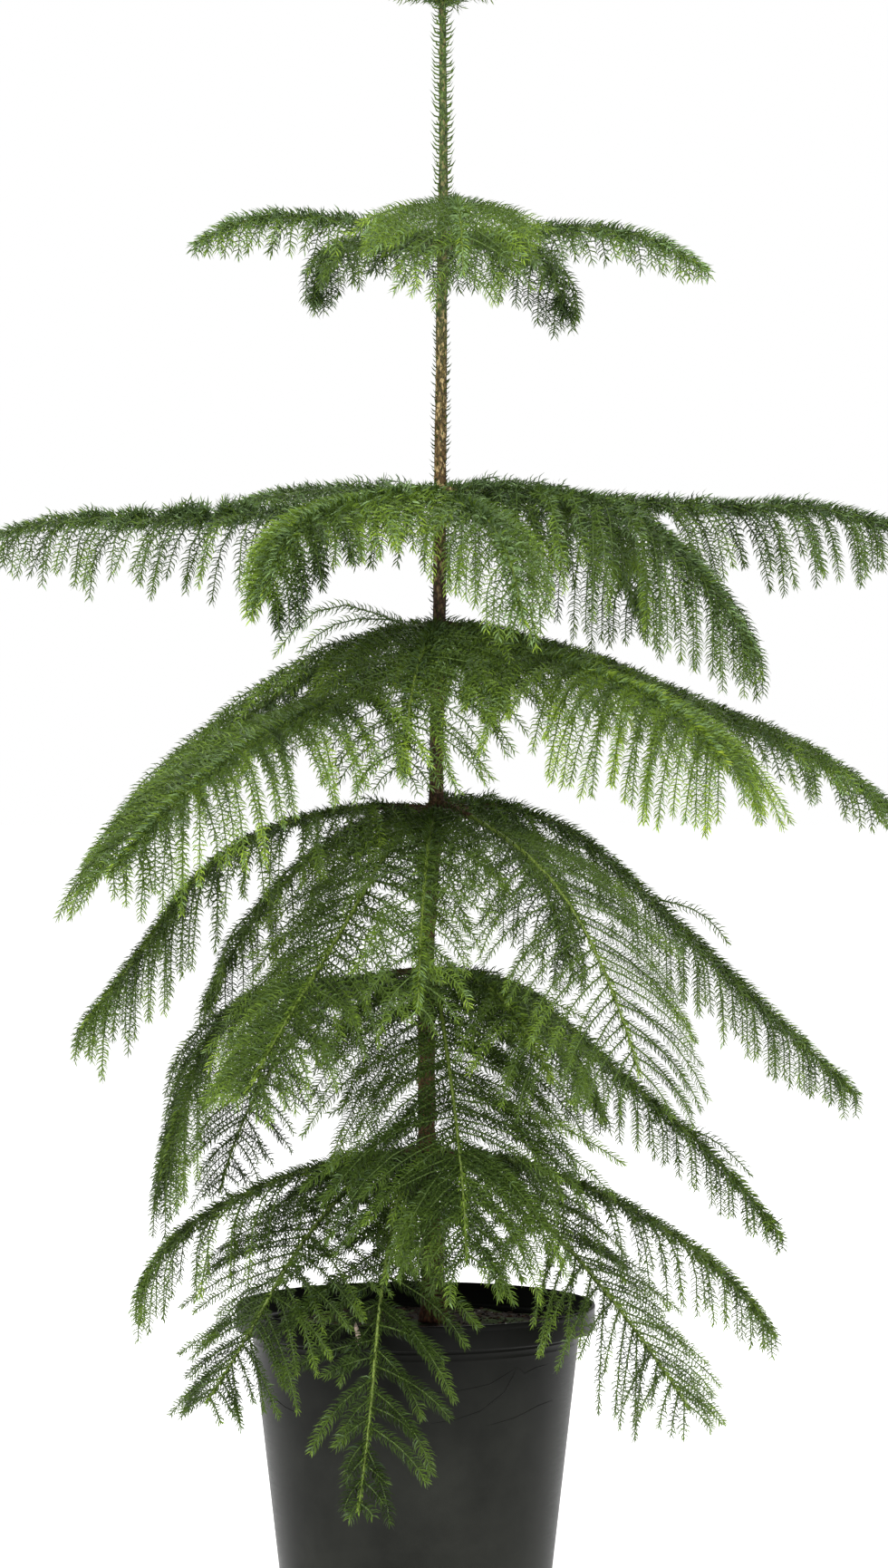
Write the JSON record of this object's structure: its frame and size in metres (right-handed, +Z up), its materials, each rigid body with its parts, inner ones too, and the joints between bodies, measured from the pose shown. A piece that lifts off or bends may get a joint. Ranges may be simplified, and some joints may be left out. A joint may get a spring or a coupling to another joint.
{
  "type": "potted norfolk island pine",
  "caption": "Young conifer with whorls of drooping, needled branches round one slim trunk, growing in a round plastic nursery pot.",
  "frame": {"origin": "centre of the pot's flat underside", "axes": "+Z up, -Y towards the front of the plant, +X to the right seen from the front"},
  "size_m": [0.7423, 0.5324, 1.306],
  "materials": {
    "pot": "near-black moulded plastic, satin, with faint moulding lines",
    "potting_mix": "moist dark brown bark and peat crumbs with a little moss",
    "bark": "thin red-brown bark with fine cross cracks and leaf scars, paler and greener towards the tip",
    "foliage": "soft mid-green needles with a faint wax sheen",
    "foliage_dark": "older, dark blue-green needles",
    "foliage_bright": "young yellow-green needles at the shoot tips",
    "green_stem": "smooth yellow-green young bark of side shoots"
  },
  "bodies": {
    "root": {"pot": "pot", "potting_mix": "potting_mix", "trunk": "bark", "tier_1_bough_back": "bark", "tier_1_bough_front": "bark", "tier_1_bough_front_left": "bark", "tier_1_bough_front_right": "bark", "tier_1_bough_left": "bark", "tier_1_bough_right": "bark", "tier_1_foliage_back": "foliage", "tier_1_foliage_front": "foliage", "tier_1_foliage_front_left": "foliage", "tier_1_foliage_front_right": "foliage", "tier_1_foliage_left": "foliage", "tier_1_foliage_right": "foliage", "tier_2_bough_back_left": "bark", "tier_2_bough_back_right": "bark", "tier_2_bough_front": "bark", "tier_2_bough_front_left": "bark", "tier_2_bough_front_right": "bark", "tier_2_bough_right": "bark", "tier_2_foliage_back_left": "foliage", "tier_2_foliage_back_right": "foliage", "tier_2_foliage_front": "foliage", "tier_2_foliage_front_left": "foliage", "tier_2_foliage_front_right": "foliage", "tier_2_foliage_right": "foliage", "tier_3_bough_back_left": "bark", "tier_3_bough_back_right": "bark", "tier_3_bough_front": "bark", "tier_3_bough_front_left": "bark", "tier_3_bough_front_right": "bark", "tier_3_bough_left": "bark", "tier_3_bough_right": "bark", "tier_3_foliage_back_left": "foliage", "tier_3_foliage_back_right": "foliage", "tier_3_foliage_front": "foliage", "tier_3_foliage_front_left": "foliage", "tier_3_foliage_front_right": "foliage", "tier_3_foliage_left": "foliage", "tier_3_foliage_right": "foliage", "tier_4_foliage_back": "foliage", "tier_4_foliage_back_left": "foliage", "tier_4_foliage_front": "foliage", "tier_4_foliage_front_left": "foliage", "tier_4_foliage_front_right": "foliage", "tier_4_foliage_right": "foliage", "tier_5_foliage_back_left": "foliage", "tier_5_foliage_back_right": "foliage", "tier_5_foliage_front": "foliage", "tier_5_foliage_front_left": "foliage", "tier_5_foliage_front_right": "foliage", "tier_5_foliage_left": "foliage", "tier_5_foliage_right": "foliage", "tier_6_foliage_back_left": "foliage", "tier_6_foliage_back_right": "foliage", "tier_6_foliage_front": "foliage", "tier_6_foliage_left": "foliage", "tier_6_foliage_right": "foliage", "tier_7_foliage_tip": "foliage"}
  },
  "joints": []
}
